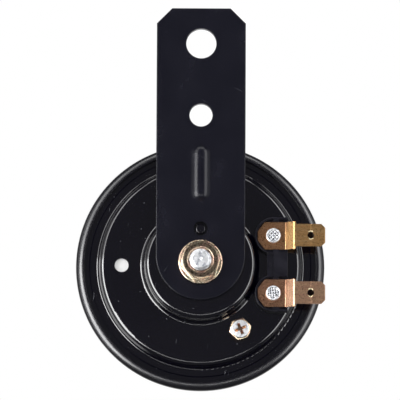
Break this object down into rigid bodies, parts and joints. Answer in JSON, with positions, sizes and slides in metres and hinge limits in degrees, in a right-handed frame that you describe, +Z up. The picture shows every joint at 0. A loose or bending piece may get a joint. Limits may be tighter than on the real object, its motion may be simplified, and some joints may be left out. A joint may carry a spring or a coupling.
{
  "type": "car horn",
  "caption": "Electric disc horn: black steel housing on a flat bracket, with blade terminals and an adjusting screw at the rear and a slotted sound cover at the front.",
  "frame": {"origin": "centre of the bracket's upper mounting hole, on the bracket's rear face", "axes": "+Z up along the bracket, -Y to the rear, where bracket, stud and terminals are, +Y along the horn's axis towards its slotted front, +X towards the blades' tips"},
  "size_m": [0.07, 0.0313, 0.1069],
  "materials": {
    "bracket_black": "satin black paint",
    "horn_black": "gloss black enamel",
    "yellow_zinc": "iridescent yellow zinc",
    "bright_zinc": "bright zinc",
    "blade_brass": "satin rolled brass",
    "block_plastic": "moulded black, satin",
    "membrane_white": "white breather film",
    "gasket_fibre": "grey brown fibre",
    "spring_steel": "rolled spring steel",
    "bare_steel": "turned steel",
    "tone_disc_steel": "zinc plated pressed steel",
    "bobbin_plastic": "natural nylon",
    "copper_wire": "enamelled copper",
    "leaf_bronze": "phosphor bronze",
    "tungsten": "tungsten"
  },
  "bodies": {
    "horn": {"bracket": "bracket_black", "flange_nut": "yellow_zinc", "housing": "horn_black", "vent_membrane": "membrane_white", "front_cover": "horn_black", "rear_gasket": "gasket_fibre", "front_gasket": "gasket_fibre", "diaphragm": "spring_steel", "core_stud": "bright_zinc", "coil_washer": "gasket_fibre", "coil_bobbin": "bobbin_plastic", "coil_winding": "copper_wire", "coil_retainer": "spring_steel", "coil_lead_start": "copper_wire", "coil_lead_end": "copper_wire", "terminal_block": "block_plastic", "terminal_upper": "blade_brass", "terminal_lower": "blade_brass", "rivet_upper": "bright_zinc", "rivet_lower": "bright_zinc", "insulator_plate": "gasket_fibre", "insulator_spacer": "gasket_fibre", "coil_lug": "blade_brass", "contact_leaf": "leaf_bronze", "contact_arm": "bare_steel", "moving_contact": "tungsten", "fixed_contact": "tungsten"},
    "beater": {"armature": "bare_steel", "spacer_washer": "bare_steel", "tone_disc": "tone_disc_steel", "lock_washer": "bare_steel", "centre_nut": "bare_steel"},
    "adjuster": {"adjusting_screw": "yellow_zinc"}
  },
  "joints": [
    {"name": "beat", "type": "slide", "parent": "horn", "child": "beater", "axis": [0, -1, 0], "range_m": [-0.0005, 0.0006], "stiffness_N_per_m": 100000, "deforming": ["diaphragm", "contact_leaf"]},
    {"name": "adjuster_turn", "type": "hinge", "parent": "horn", "child": "adjuster", "pos_m": [0.01129, 0.006, -0.08003], "axis": [0, -1, 0], "range_deg": [-180, 180]}
  ]
}
